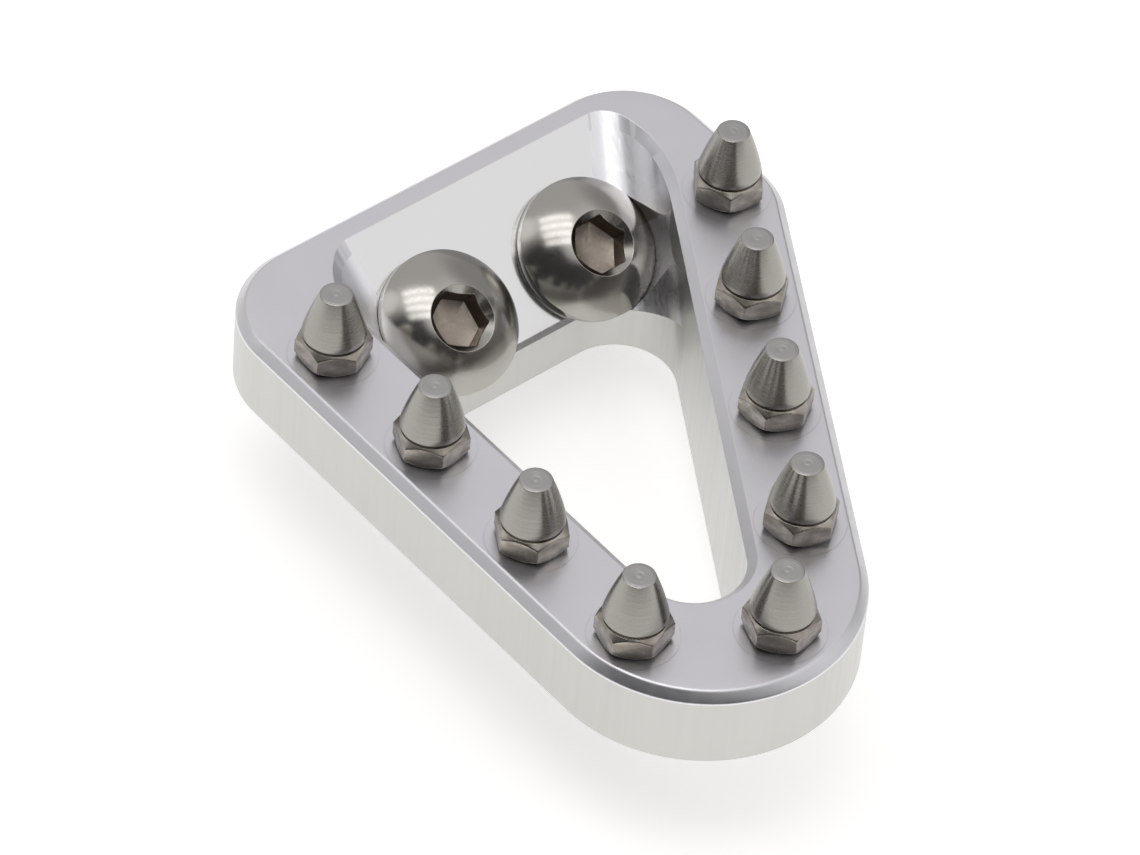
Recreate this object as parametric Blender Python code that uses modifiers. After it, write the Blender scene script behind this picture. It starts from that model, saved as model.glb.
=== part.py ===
# Brake pedal extension: a milled aluminium plate with grip studs, bolted to a pedal arm.
#
# Axes: +Z is up out of the tread face, +Y runs from the nose to the mount bar, and the
# origin is the middle of the mount seat under the bar, between the two screws.
# All sizes are in metres and all angles in degrees.

import bmesh
import bpy
from math import ceil, cos, pi, radians, sin, tan
from mathutils import Matrix, Vector

# Plate, seen from above
LEFT_REACH = 0.0163  # left screw's axis to the left arm's outer side
END_REACH = 0.01325  # right screw's axis to the bar's end face
BAR_DEPTH = 0.0131  # mount bar, outer side to opening
BAR_OUTER_Y = 0.0073  # outer side of the bar, from the middle of the mount seat
END_FACE = 0.01665  # end face, bar side to the corner of the slanted arm
SLANT_ANGLE = 58.5  # direction of the slanted arm from the bar
ARM_WIDTH = 0.0085
LEFT_CORNER_RADIUS = 0.0074
RIGHT_CORNER_RADIUS = 0.0069
SLANT_CORNER_RADIUS = 0.0075
NOSE_RADIUS = 0.0121
OPENING_RADIUS = 0.0045  # at the bar
OPENING_NOSE_RADIUS = 0.0041
ARC_STEP = 6.0  # angle of one facet on a corner

# Plate, seen from the side
PLATE_THICKNESS = 0.0118
SIDE_HEIGHT = 0.0067  # upright part of the outer side, from the tread down
EDGE_CHAMFER = 0.0007  # 45 degree break along the tread's edges

# Mount: a tilted pocket above and a seat below, with the web between them
MOUNT_ANGLE = 35.0  # tilt of pocket and seat from the tread
WEB_THICKNESS = 0.0042
POCKET_RIM = 0.00225  # tread left between the pocket and the bar's outer side
POCKET_RADIUS = 0.0038  # cove between the pocket's floor and its ends
SEAT_WIDTH = 0.0264  # slot that takes the pedal arm's flat end
LIP_CHAMFER = 0.0003  # edge break along the pocket's open side

# Button head screws
SCREW_SPACING = 0.0134
SCREW_DIAMETER = 0.0060
SCREW_LENGTH = 0.0120  # under the head
HEAD_DIAMETER = 0.0112
HEAD_HEIGHT = 0.0032
HEAD_RIM = 0.0009  # upright part of the head's edge
HEAD_EDGE = 0.0003  # break at the foot of the head
SOCKET_ACROSS_FLATS = 0.0040
SOCKET_DEPTH = 0.0020
SOCKET_MOUTH = 0.0052  # diameter of the bright bevel round the socket
SCREW_TURNS = {"left": 30.0, "right": 0.0}  # where each screw came tight

# Grip studs
STUD_PITCH = 0.0115
LEFT_STUDS = 4
SLANT_STUDS = 4
LEFT_ROW_START = 0.0111  # first stud of the left row, from the bar's outer side
SLANT_ROW_START = 0.0005  # last stud of the slanted row, past the end face's corner
NOSE_STUD_ANGLE = -82.5  # direction of the nose stud from the nose arc's centre
NOSE_STUD_INSET = 0.0045  # nose stud, from the nose's outer side
STUD_HEIGHT = 0.0059  # above its own seat
STUD_HEX = 0.0050  # across flats
STUD_HEX_HEIGHT = 0.0017
STUD_HEX_BEVEL = 0.00035  # height of the turned bevel at the hexagon's two ends
STUD_NECK_DIAMETER = 0.0043
STUD_NECK_HEIGHT = 0.0003
STUD_LAND_DIAMETER = 0.0049
STUD_LAND_HEIGHT = 0.0003
STUD_TIP_DIAMETER = 0.00244
STUD_BULGE = 0.0001  # how far the cone swells past a straight line
STUD_THREAD = 0.0040
STUD_SHANK = 0.0060
STUD_HOLE_EXTRA = 0.0008  # drilled depth past the shank
# Each stud's hexagon stops where its thread seats
STUD_TURNS = {
    "left_1": 57.0,
    "left_2": 38.0,
    "left_3": 29.0,
    "left_4": 47.0,
    "nose": 41.0,
    "slant_1": 7.0,
    "slant_2": 3.0,
    "slant_3": 8.0,
    "slant_4": 23.0,
}

# Fits
HOLE_CLEARANCE = 0.0003  # all round a shank in its hole
SEAT_GAP = 0.0003  # under a head or a hexagon
HEAD_CLEARANCE = 0.0002  # round a head, where its relief cuts the coves
RELIEF_SKIM = 0.00002  # what a relief takes off the floor and the walls

REACH = 0.02  # how far cutters run past the plate

SLANT = Vector((cos(radians(SLANT_ANGLE)), sin(radians(SLANT_ANGLE)), 0.0))
SLANT_OUT = Vector((SLANT.y, -SLANT.x, 0.0))  # away from the opening
FLOOR_NORMAL = Vector((0.0, -sin(radians(MOUNT_ANGLE)), cos(radians(MOUNT_ANGLE))))
LEFT_SIDE_X = -SCREW_SPACING / 2 - LEFT_REACH
END_FACE_X = SCREW_SPACING / 2 + END_REACH
SLANT_CORNER = Vector((END_FACE_X, BAR_OUTER_Y - END_FACE, 0.0))
# The tread lies where the pocket's floor comes up at the inner side of its rim
FLOOR_RISE = sin(radians(MOUNT_ANGLE)) * (BAR_OUTER_Y - POCKET_RIM)
TREAD_HEIGHT = (WEB_THICKNESS + FLOOR_RISE) / cos(radians(MOUNT_ANGLE))
BOTTOM = TREAD_HEIGHT - PLATE_THICKNESS


# Scene and helpers


def clear_scene():
    for item in list(bpy.data.objects):
        bpy.data.objects.remove(item, do_unlink=True)


def new_collection(name):
    group = bpy.data.collections.new(name)
    bpy.context.scene.collection.children.link(group)
    return group


def metal(name, color, roughness):
    material = bpy.data.materials.new(name)
    material.use_nodes = True
    surface = material.node_tree.nodes["Principled BSDF"]
    surface.inputs["Base Color"].default_value = (*color, 1.0)
    surface.inputs["Roughness"].default_value = roughness
    surface.inputs["Metallic"].default_value = 1.0
    material.diffuse_color = (*color, 1.0)
    return material


def add_object(name, mesh, group, material=None):
    item = bpy.data.objects.new(name, mesh)
    group.objects.link(item)
    if material:
        mesh.materials.append(material)
    return item


def as_cutter(item):
    item.hide_render = True
    item.display_type = "WIRE"
    return item


def cut(item, cutter):
    step = item.modifiers.new("Cut " + cutter.name, "BOOLEAN")
    step.operation = "DIFFERENCE"
    step.solver = "EXACT"
    step.object = cutter
    return step


def smooth(mesh, angle=30.0):
    mesh.shade_smooth()
    mesh.set_sharp_from_angle(angle=radians(angle))


# Plan geometry


def line_meet(point_a, way_a, point_b, way_b):
    """The point where two lines of the plan cross."""
    across = way_a.x * way_b.y - way_a.y * way_b.x
    step = point_b - point_a
    along = (step.x * way_b.y - step.y * way_b.x) / across
    return point_a + way_a * along


def corner_arc(before, corner, after, radius):
    """Points of the arc that rounds a corner, and the arc's centre."""
    way_in = (before - corner).normalized()
    way_out = (after - corner).normalized()
    half = way_in.angle(way_out) / 2
    centre = corner + (way_in + way_out).normalized() * (radius / sin(half))
    first = corner + way_in * (radius / tan(half)) - centre
    last = corner + way_out * (radius / tan(half)) - centre
    steps = max(2, ceil((pi - 2 * half) / radians(ARC_STEP)))
    return [centre + first.slerp(last, k / steps) * radius for k in range(steps + 1)], centre


def rounded(corners, radii):
    """A closed outline with each corner rounded to its own radius."""
    points = []
    for k, corner in enumerate(corners):
        after = corners[(k + 1) % len(corners)]
        points += corner_arc(corners[k - 1], corner, after, radii[k])[0]
    return points


def offset(points, distance):
    """The same outline moved outwards; the points run anticlockwise."""
    moved = []
    for k, point in enumerate(points):
        before = (point - points[k - 1]).normalized()
        after = (points[(k + 1) % len(points)] - point).normalized()
        out_a = Vector((before.y, -before.x, 0.0))
        out_b = Vector((after.y, -after.x, 0.0))
        mitre = out_a + out_b
        moved.append(point + mitre * (2 * distance / mitre.length_squared))
    return moved


def at_height(points, height):
    return [Vector((p.x, p.y, height)) for p in points]


def outer_corners():
    left_top = Vector((LEFT_SIDE_X, BAR_OUTER_Y, 0.0))
    right_top = Vector((END_FACE_X, BAR_OUTER_Y, 0.0))
    nose = line_meet(left_top, Vector((0, 1, 0)), SLANT_CORNER, SLANT)
    return [left_top, nose, SLANT_CORNER, right_top]


def opening_corners():
    left_top = Vector((LEFT_SIDE_X + ARM_WIDTH, BAR_OUTER_Y - BAR_DEPTH, 0.0))
    slant_point = SLANT_CORNER - SLANT_OUT * ARM_WIDTH
    right_top = line_meet(left_top, Vector((1, 0, 0)), slant_point, SLANT)
    nose = line_meet(left_top, Vector((0, 1, 0)), slant_point, SLANT)
    return [left_top, nose, right_top]


def outer_outline():
    radii = [LEFT_CORNER_RADIUS, NOSE_RADIUS, SLANT_CORNER_RADIUS, RIGHT_CORNER_RADIUS]
    return rounded(outer_corners(), radii)


def opening_outline():
    radii = [OPENING_RADIUS, OPENING_NOSE_RADIUS, OPENING_RADIUS]
    return rounded(opening_corners(), radii)


# Tilted pocket geometry


def floor_height(y, above=0.0):
    """Height at y of the plane that lies `above` the pocket's floor."""
    return (WEB_THICKNESS + above + sin(radians(MOUNT_ANGLE)) * y) / cos(radians(MOUNT_ANGLE))


def floor_line(height, above=0.0):
    """The y at which that plane reaches a height."""
    rise = cos(radians(MOUNT_ANGLE)) * height - WEB_THICKNESS - above
    return rise / sin(radians(MOUNT_ANGLE))


def cove_section(wall_point, inward, height):
    """Points of one end's cove where a level plane cuts it, from the wall to the floor.

    The cove is a cylinder that touches the upright wall and the tilted floor, so a
    level cut through it is an arc of an ellipse.
    """
    y = floor_line(height, POCKET_RADIUS)
    along = Vector((-inward.y, inward.x, 0.0))
    on_wall = wall_point + inward * POCKET_RADIUS
    centre = line_meet(on_wall, along, Vector((0.0, y, 0.0)), Vector((1.0, 0.0, 0.0)))
    centre.z = height
    axis = inward.cross(FLOOR_NORMAL).normalized()
    steps = max(4, ceil(90 / (1.5 * ARC_STEP)))
    points = []
    for k in range(steps + 1):
        spoke = (-inward).slerp(-FLOOR_NORMAL, k / steps) * POCKET_RADIUS
        points.append(centre + spoke - axis * (spoke.z / axis.z))
    return points


def pocket_section(height):
    """The opening with the pocket joined to it, cut by a level plane."""
    left_top, nose, right_top = opening_corners()
    arc = corner_arc(left_top, nose, right_top, OPENING_NOSE_RADIUS)[0]
    right = cove_section(right_top, -SLANT_OUT, height)
    left = cove_section(left_top, Vector((1.0, 0.0, 0.0)), height)
    return at_height(arc + right + left[::-1], height)


# Solids from the geometry


def loft(name, rings, group):
    """A closed solid through rings that hold the same number of points."""
    mesh = bpy.data.meshes.new(name)
    shape = bmesh.new()
    loops = [[shape.verts.new(p) for p in ring] for ring in rings]
    for low, high in zip(loops, loops[1:]):
        for k in range(len(low)):
            shape.faces.new((low[k - 1], low[k], high[k], high[k - 1]))
    shape.faces.new(loops[0][::-1])
    shape.faces.new(loops[-1])
    bmesh.ops.recalc_face_normals(shape, faces=shape.faces)
    shape.to_mesh(mesh)
    shape.free()
    return add_object(name, mesh, group)


def extruded(name, outline, low, high, group):
    """A flat outline as a filled 2D curve, extruded and made a mesh."""
    curve = bpy.data.curves.new(name, "CURVE")
    curve.dimensions = "2D"
    curve.fill_mode = "BOTH"
    curve.extrude = (high - low) / 2
    spline = curve.splines.new("POLY")
    spline.points.add(len(outline) - 1)
    for point, place in zip(spline.points, outline):
        point.co = (place.x, place.y, 0.0, 1.0)
    spline.use_cyclic_u = True
    guide = add_object(name + " outline", curve, group)
    guide.location.z = (low + high) / 2
    bpy.context.view_layer.update()
    graph = bpy.context.evaluated_depsgraph_get()
    mesh = bpy.data.meshes.new_from_object(guide.evaluated_get(graph))
    mesh.name = name
    shape = bmesh.new()
    shape.from_mesh(mesh)
    bmesh.ops.remove_doubles(shape, verts=shape.verts, dist=1e-7)
    bmesh.ops.dissolve_limit(shape, angle_limit=radians(0.5), verts=shape.verts, edges=shape.edges)
    bmesh.ops.recalc_face_normals(shape, faces=shape.faces)
    shape.to_mesh(mesh)
    shape.free()
    item = add_object(name, mesh, group)
    item.matrix_world = guide.matrix_world.copy()
    bpy.data.objects.remove(guide, do_unlink=True)
    return item


def turned(name, profile, group, steps):
    """A profile of (radius, height) points, top to bottom, turned about Z."""
    mesh = bpy.data.meshes.new(name)
    shape = bmesh.new()
    points = [shape.verts.new((radius, 0.0, height)) for radius, height in profile]
    for a, b in zip(points, points[1:]):
        shape.edges.new((a, b))
    shape.to_mesh(mesh)
    shape.free()
    item = add_object(name, mesh, group)
    turn = item.modifiers.new("Turn", "SCREW")
    turn.axis = "Z"
    turn.angle = 2 * pi
    turn.steps = steps
    turn.render_steps = steps
    turn.use_merge_vertices = True
    turn.merge_threshold = 0.000001
    return item


def hexagon(name, across_flats, low, high, group, turn=0.0):
    mesh = bpy.data.meshes.new(name)
    shape = bmesh.new()
    radius = across_flats / (2 * cos(radians(30)))
    place = Matrix.Translation((0, 0, (low + high) / 2)) @ Matrix.Rotation(radians(turn), 4, "Z")
    bmesh.ops.create_cone(
        shape,
        cap_ends=True,
        segments=6,
        radius1=radius,
        radius2=radius,
        depth=high - low,
        matrix=place,
    )
    shape.to_mesh(mesh)
    shape.free()
    return add_object(name, mesh, group)


def applied(item, group, name):
    """The item with its modifiers worked in, as a new mesh object."""
    bpy.context.view_layer.update()
    graph = bpy.context.evaluated_depsgraph_get()
    mesh = bpy.data.meshes.new_from_object(item.evaluated_get(graph))
    mesh.name = name
    return add_object(name, mesh, group)


# Plate


def weigh_edges(mesh, name, height):
    """Marks the outline's edges at one height for a bevel of their own."""
    marks = mesh.attributes.new(name, "FLOAT", "EDGE")
    for edge in mesh.edges:
        ends = [mesh.vertices[k].co.z for k in edge.vertices]
        if all(abs(z - height) < 1e-6 for z in ends):
            marks.data[edge.index].value = 1.0


def add_bevel(item, marks, width):
    bevel = item.modifiers.new("Bevel " + marks, "BEVEL")
    bevel.limit_method = "WEIGHT"
    bevel.edge_weight = marks
    bevel.width = width
    bevel.segments = 1
    bevel.use_clamp_overlap = False
    return bevel


def stud_places():
    """Name and plan position of each stud."""
    places = {}
    left_x = LEFT_SIDE_X + ARM_WIDTH / 2
    for k in range(LEFT_STUDS):
        y = BAR_OUTER_Y - LEFT_ROW_START - k * STUD_PITCH
        places["left_%d" % (k + 1)] = Vector((left_x, y, 0.0))
    corners = outer_corners()
    centre = corner_arc(corners[0], corners[1], corners[2], NOSE_RADIUS)[1]
    angle = radians(NOSE_STUD_ANGLE)
    reach = NOSE_RADIUS - NOSE_STUD_INSET
    places["nose"] = centre + Vector((cos(angle), sin(angle), 0.0)) * reach
    row_end = SLANT_CORNER - SLANT_OUT * (ARM_WIDTH / 2) - SLANT * SLANT_ROW_START
    for k in range(SLANT_STUDS):
        steps = SLANT_STUDS - 1 - k
        places["slant_%d" % (k + 1)] = row_end - SLANT * (steps * STUD_PITCH)
    return places


def screw_frames():
    """Placement of each screw: its local Z stands on the tilted floor."""
    tilt = Matrix.Rotation(radians(MOUNT_ANGLE), 4, "X")
    return {
        "left": Matrix.Translation((-SCREW_SPACING / 2, 0, 0)) @ tilt,
        "right": Matrix.Translation((SCREW_SPACING / 2, 0, 0)) @ tilt,
    }


def make_plate(parts, cutters, material):
    plate = extruded("plate", outer_outline(), BOTTOM, TREAD_HEIGHT, parts)
    plate.data.materials.append(material)
    middle = (BOTTOM + TREAD_HEIGHT) / 2
    weigh_edges(plate.data, "tread_edge", TREAD_HEIGHT - middle)
    weigh_edges(plate.data, "under_edge", BOTTOM - middle)
    add_bevel(plate, "tread_edge", EDGE_CHAMFER)
    add_bevel(plate, "under_edge", PLATE_THICKNESS - SIDE_HEIGHT)

    opening = extruded("opening cutter", opening_outline(), BOTTOM - REACH, TREAD_HEIGHT + REACH, cutters)
    cut(plate, as_cutter(opening))

    # The floor runs out into the opening, so the cutter ends in free space there
    low = floor_height(BAR_OUTER_Y - BAR_DEPTH - 2 * OPENING_RADIUS)
    high = TREAD_HEIGHT + REACH / 10
    pocket = loft("pocket cutter", [pocket_section(low), pocket_section(high)], cutters)
    cut(plate, as_cutter(pocket))

    # A 45 degree tool follows the opening's edge and lifts where the cove is shallower
    edge = pocket_section(TREAD_HEIGHT - EDGE_CHAMFER)
    wide = 2 * EDGE_CHAMFER
    rings = [edge, at_height(offset(edge, wide), TREAD_HEIGHT - EDGE_CHAMFER + wide)]
    cut(plate, as_cutter(loft("edge cutter", rings, cutters)))

    lip = add_lip_cutter(cutters)
    cut(plate, as_cutter(lip))

    cut(plate, as_cutter(add_seat_cutter(cutters)))

    between = as_cutter(add_wall_bounds(cutters))
    for name, frame in screw_frames().items():
        radius = SCREW_DIAMETER / 2 + HOLE_CLEARANCE
        hole = turned("screw hole " + name, drill(radius, -REACH, REACH), cutters, 40)
        hole.matrix_world = frame
        cut(plate, as_cutter(hole))
        radius = HEAD_DIAMETER / 2 + HEAD_CLEARANCE
        seat = WEB_THICKNESS - RELIEF_SKIM
        relief = turned("head relief " + name, drill(radius, seat, REACH), cutters, 48)
        relief.matrix_world = frame
        bound = relief.modifiers.new("Stop at the walls", "BOOLEAN")
        bound.operation = "INTERSECT"
        bound.object = between
        cut(plate, as_cutter(relief))

    depth = STUD_SHANK - SEAT_GAP + STUD_HOLE_EXTRA
    for name, place in stud_places().items():
        radius = STUD_THREAD / 2 + HOLE_CLEARANCE
        profile = drill(radius, TREAD_HEIGHT - depth, TREAD_HEIGHT + REACH, point=True)
        hole = turned("stud hole " + name, profile, cutters, 24)
        hole.location = place
        cut(plate, as_cutter(hole))
    smooth(plate.data, 20.0)
    return plate


def drill(radius, low, high, point=False):
    """Profile of a drilled hole, with a drill point at its lower end if asked."""
    tip = radius * tan(radians(31)) if point else 0.0
    return [(0.0, high), (radius, high), (radius, low), (0.0, low - tip)]


def add_wall_bounds(cutters):
    """The space between the pocket's two upright walls, a skim wider than they are."""
    left_top, nose, right_top = opening_corners()
    corners = [left_top + Vector((0.0, REACH, 0.0)), nose, right_top + SLANT * REACH]
    outline = offset(corners, RELIEF_SKIM)
    return extruded("wall bounds", outline, BOTTOM - REACH, TREAD_HEIGHT + REACH, cutters)


def add_lip_cutter(cutters):
    """A long wedge that breaks the edge where the pocket's floor meets the opening."""
    y = BAR_OUTER_Y - BAR_DEPTH
    z = floor_height(y)
    along_floor = Vector((0.0, cos(radians(MOUNT_ANGLE)), sin(radians(MOUNT_ANGLE))))
    edge = Vector((0.0, y, z))
    upper = edge + along_floor * LIP_CHAMFER
    lower = edge - Vector((0.0, 0.0, LIP_CHAMFER))
    way = (upper - lower).normalized()
    free = Vector((0.0, -way.z, way.y)) * (4 * LIP_CHAMFER)
    top = upper + way * (2 * LIP_CHAMFER)
    foot = lower - way * (2 * LIP_CHAMFER)
    section = [foot, top, top + free, foot + free]
    left_top, nose, right_top = opening_corners()
    first = left_top.x + OPENING_RADIUS
    turn = corner_arc(nose, right_top, left_top, OPENING_RADIUS)[0][-1].x
    rings = [[Vector((x, p.y, p.z)) for p in section] for x in (first, turn)]
    return loft("lip cutter", rings, cutters)


def add_seat_cutter(cutters):
    """A tilted block under the bar: its top face is the seat."""
    mesh = bpy.data.meshes.new("seat cutter")
    shape = bmesh.new()
    bmesh.ops.create_cube(shape, size=1.0)
    size = Matrix.Diagonal((SEAT_WIDTH, 4 * REACH, REACH, 1.0))
    bmesh.ops.transform(shape, matrix=Matrix.Translation((0, 0, -REACH / 2)) @ size, verts=shape.verts)
    shape.to_mesh(mesh)
    shape.free()
    block = add_object("seat cutter", mesh, cutters)
    block.rotation_euler.x = radians(MOUNT_ANGLE)
    return block


# Screws


def head_profile():
    """Half section of a button head and its shank, from the crown down."""
    rim = HEAD_DIAMETER / 2
    mouth = SOCKET_MOUTH / 2
    # The dome's centre is on the axis, and its arc joins the rim to the mouth
    drop = (rim**2 - mouth**2 + HEAD_RIM**2 - HEAD_HEIGHT**2) / (2 * (HEAD_HEIGHT - HEAD_RIM))
    start = Vector((mouth, HEAD_HEIGHT + drop))
    end = Vector((rim, HEAD_RIM + drop))
    turn = start.angle(end)
    points = [(0.0, HEAD_HEIGHT)]
    for k in range(9):
        spoke = Matrix.Rotation(-turn * k / 8, 2) @ start
        points.append((spoke.x, spoke.y - drop))
    shank = SCREW_DIAMETER / 2
    nose = shank / 5
    points += [(rim, HEAD_EDGE), (rim - HEAD_EDGE, 0.0), (shank, 0.0)]
    points += [(shank, nose - SCREW_LENGTH), (shank - nose, -SCREW_LENGTH), (0.0, -SCREW_LENGTH)]
    return points


def make_screws(parts, cutters, material):
    blank = turned("screw blank", head_profile(), cutters, 44)
    as_cutter(blank)
    low = HEAD_HEIGHT - SOCKET_DEPTH
    socket = hexagon("socket cutter", SOCKET_ACROSS_FLATS, low, HEAD_HEIGHT + REACH, cutters, 30.0)
    cut(blank, as_cutter(socket))
    mouth = SOCKET_MOUTH / 2
    flat = SOCKET_ACROSS_FLATS / 2
    bevel = [(0.0, HEAD_HEIGHT + mouth), (2 * mouth, HEAD_HEIGHT + mouth), (flat, HEAD_HEIGHT + flat - mouth)]
    countersink = turned("mouth cutter", bevel + [(0.0, HEAD_HEIGHT + flat - mouth)], cutters, 48)
    cut(blank, as_cutter(countersink))
    for name, frame in screw_frames().items():
        screw = applied(blank, parts, "mount_screw_" + name)
        screw.data.materials.clear()
        screw.data.materials.append(material)
        lift = Matrix.Translation((0, 0, WEB_THICKNESS - RELIEF_SKIM + SEAT_GAP))
        screw.matrix_world = frame @ lift @ Matrix.Rotation(radians(SCREW_TURNS[name]), 4, "Z")
        smooth(screw.data)


# Studs


def stud_profile():
    """Half section of a stud above its hexagon's middle, from the tip down."""
    tip = STUD_TIP_DIAMETER / 2
    land = STUD_LAND_DIAMETER / 2
    neck = STUD_NECK_DIAMETER / 2
    land_low = STUD_HEX_HEIGHT + STUD_NECK_HEIGHT
    cone_low = land_low + STUD_LAND_HEIGHT
    edge = tip / 10
    points = [(0.0, STUD_HEIGHT), (tip - edge, STUD_HEIGHT)]
    for k in range(7):
        part = k / 6
        swell = STUD_BULGE * 4 * part * (1 - part)
        radius = tip + (land - tip) * part + swell
        points.append((radius, STUD_HEIGHT - edge - (STUD_HEIGHT - edge - cone_low) * part))
    points += [(land, land_low + edge), (land - edge, land_low), (neck, land_low)]
    points += [(neck, STUD_HEX_HEIGHT / 2), (0.0, STUD_HEX_HEIGHT / 2)]
    return points


def shank_profile():
    shank = STUD_THREAD / 2
    nose = shank / 5
    low = -STUD_SHANK
    return [
        (0.0, STUD_HEX_HEIGHT / 2),
        (shank, STUD_HEX_HEIGHT / 2),
        (shank, low + nose),
        (shank - nose, low),
        (0.0, low),
    ]


def barrel_profile():
    """The turned envelope that bevels the hexagon's corners at both ends."""
    corner = STUD_HEX / (2 * cos(radians(30)))
    end = corner - STUD_HEX_BEVEL * tan(radians(60))
    middle = corner + STUD_HEX_BEVEL
    return [
        (0.0, STUD_HEX_HEIGHT),
        (end, STUD_HEX_HEIGHT),
        (middle, STUD_HEX_HEIGHT - (middle - end) / tan(radians(60))),
        (middle, (middle - end) / tan(radians(60))),
        (end, 0.0),
        (0.0, 0.0),
    ]


def make_studs(parts, cutters, material):
    hexed = as_cutter(hexagon("stud blank", STUD_HEX, 0.0, STUD_HEX_HEIGHT, cutters))
    barrel = as_cutter(turned("stud barrel", barrel_profile(), cutters, 30))
    common = hexed.modifiers.new("Turned ends", "BOOLEAN")
    common.operation = "INTERSECT"
    common.object = barrel
    for item in (
        turned("stud body", stud_profile(), cutters, 28),
        turned("stud shank", shank_profile(), cutters, 20),
    ):
        join = hexed.modifiers.new("Join " + item.name, "BOOLEAN")
        join.operation = "UNION"
        join.object = as_cutter(item)
    for name, place in stud_places().items():
        stud = applied(hexed, parts, "stud_" + name)
        stud.data.materials.clear()
        stud.data.materials.append(material)
        stud.location = place + Vector((0.0, 0.0, TREAD_HEIGHT + SEAT_GAP))
        stud.rotation_euler.z = radians(STUD_TURNS.get(name, 0.0))
        smooth(stud.data)


def main():
    clear_scene()
    parts = new_collection("brake pedal extension")
    cutters = new_collection("cutters")
    aluminium = metal("milled aluminium", (0.78, 0.78, 0.80), 0.32)
    bright_steel = metal("polished stainless screw", (0.60, 0.59, 0.57), 0.16)
    stud_steel = metal("turned stainless stud", (0.40, 0.39, 0.37), 0.34)
    make_plate(parts, cutters, aluminium)
    make_screws(parts, cutters, bright_steel)
    make_studs(parts, cutters, stud_steel)


main()
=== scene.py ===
from math import cos, pi, radians, sin, sqrt, tan

import bmesh
import bpy
import numpy as np
from mathutils import Matrix, Vector


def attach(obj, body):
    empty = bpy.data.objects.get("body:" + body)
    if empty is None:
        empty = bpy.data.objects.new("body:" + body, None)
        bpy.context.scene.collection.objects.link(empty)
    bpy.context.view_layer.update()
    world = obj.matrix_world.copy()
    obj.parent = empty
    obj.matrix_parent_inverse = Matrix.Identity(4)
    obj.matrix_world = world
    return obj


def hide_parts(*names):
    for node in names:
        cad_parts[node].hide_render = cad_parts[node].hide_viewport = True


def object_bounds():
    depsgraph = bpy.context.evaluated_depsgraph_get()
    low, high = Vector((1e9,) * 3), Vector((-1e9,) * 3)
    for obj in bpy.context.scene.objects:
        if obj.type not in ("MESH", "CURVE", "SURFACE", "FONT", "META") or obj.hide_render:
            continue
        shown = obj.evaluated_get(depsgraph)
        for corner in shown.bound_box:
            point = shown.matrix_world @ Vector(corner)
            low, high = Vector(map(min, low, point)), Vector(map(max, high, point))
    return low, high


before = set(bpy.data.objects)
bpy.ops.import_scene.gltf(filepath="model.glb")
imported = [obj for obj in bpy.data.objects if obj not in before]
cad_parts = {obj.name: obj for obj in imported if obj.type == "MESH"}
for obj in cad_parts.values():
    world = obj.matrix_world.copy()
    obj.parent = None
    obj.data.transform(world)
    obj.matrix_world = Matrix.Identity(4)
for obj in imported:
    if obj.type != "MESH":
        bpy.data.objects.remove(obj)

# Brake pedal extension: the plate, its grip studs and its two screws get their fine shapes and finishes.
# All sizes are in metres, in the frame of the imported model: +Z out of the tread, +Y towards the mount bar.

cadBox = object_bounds()
scene = bpy.context.scene
scene.view_settings.view_transform = "Standard"
print("frame loaded:", len(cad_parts), "nodes")


# Small helpers

def linearColour(hexCode):
    # sRGB to linear, channel by channel: a straight part near black, a power of 2.4 above it
    parts = np.array([int(hexCode[k:k + 2], 16) for k in (1, 3, 5)]) / 255
    linear = np.where(parts > 0.04045, ((parts + 0.055) / 1.055) ** 2.4, parts / 12.92)
    return (*linear.tolist(), 1.0)


def addNode(tree, kind, settings=(), values=(), links=()):
    # one shader node with its own settings, the values of its sockets and the links into them
    node = tree.nodes.new("ShaderNode" + kind)
    for name, setting in dict(settings).items():
        setattr(node, name, setting)
    for name, value in dict(values).items():
        node.inputs[name].default_value = value
    for name, source in dict(links).items():
        tree.links.new(source, node.inputs[name])
    return node


def emptyMaterial(name):
    # a material whose tree holds only the output
    material = bpy.data.materials.new(name)
    material.use_nodes = True
    tree = material.node_tree
    tree.nodes.clear()
    out = addNode(tree, "OutputMaterial")
    return material, tree, out


def meshObject(name, points, faces, uvs=None):
    # points and faces as an object; uvs, one for each point, become its UV map, "turn"
    mesh = bpy.data.meshes.new(name)
    mesh.from_pydata(points.tolist(), [], faces)
    if uvs is not None:
        layer = mesh.uv_layers.new(name="turn")
        corners = np.empty(len(mesh.loops), np.int32)
        mesh.loops.foreach_get("vertex_index", corners)
        layer.data.foreach_set("uv", uvs[corners].astype(np.float32).ravel())
    mesh.update()
    piece = bpy.data.objects.new(name, mesh)
    scene.collection.objects.link(piece)
    return piece


def ringFaces(rows, columns):
    # quads between neighbouring rows of a grid whose columns run round and close on themselves
    row, column = np.meshgrid(np.arange(rows - 1), np.arange(columns), indexing="ij")
    nextColumn = (column + 1) % columns
    quads = np.stack([row * columns + column, (row + 1) * columns + column,
                      (row + 1) * columns + nextColumn, row * columns + nextColumn], axis=-1)
    return quads.reshape(-1, 4).tolist()


def closedRings(name, rings):
    # a stack of rings, top to bottom, joined by quads and closed by one flat face at each end
    rows, columns = rings.shape[:2]
    faces = ringFaces(rows, columns)
    faces.append(list(range(columns)))
    faces.append(list(range((rows - 1) * columns, rows * columns))[::-1])
    return meshObject(name, rings.reshape(-1, 3), faces)


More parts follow.
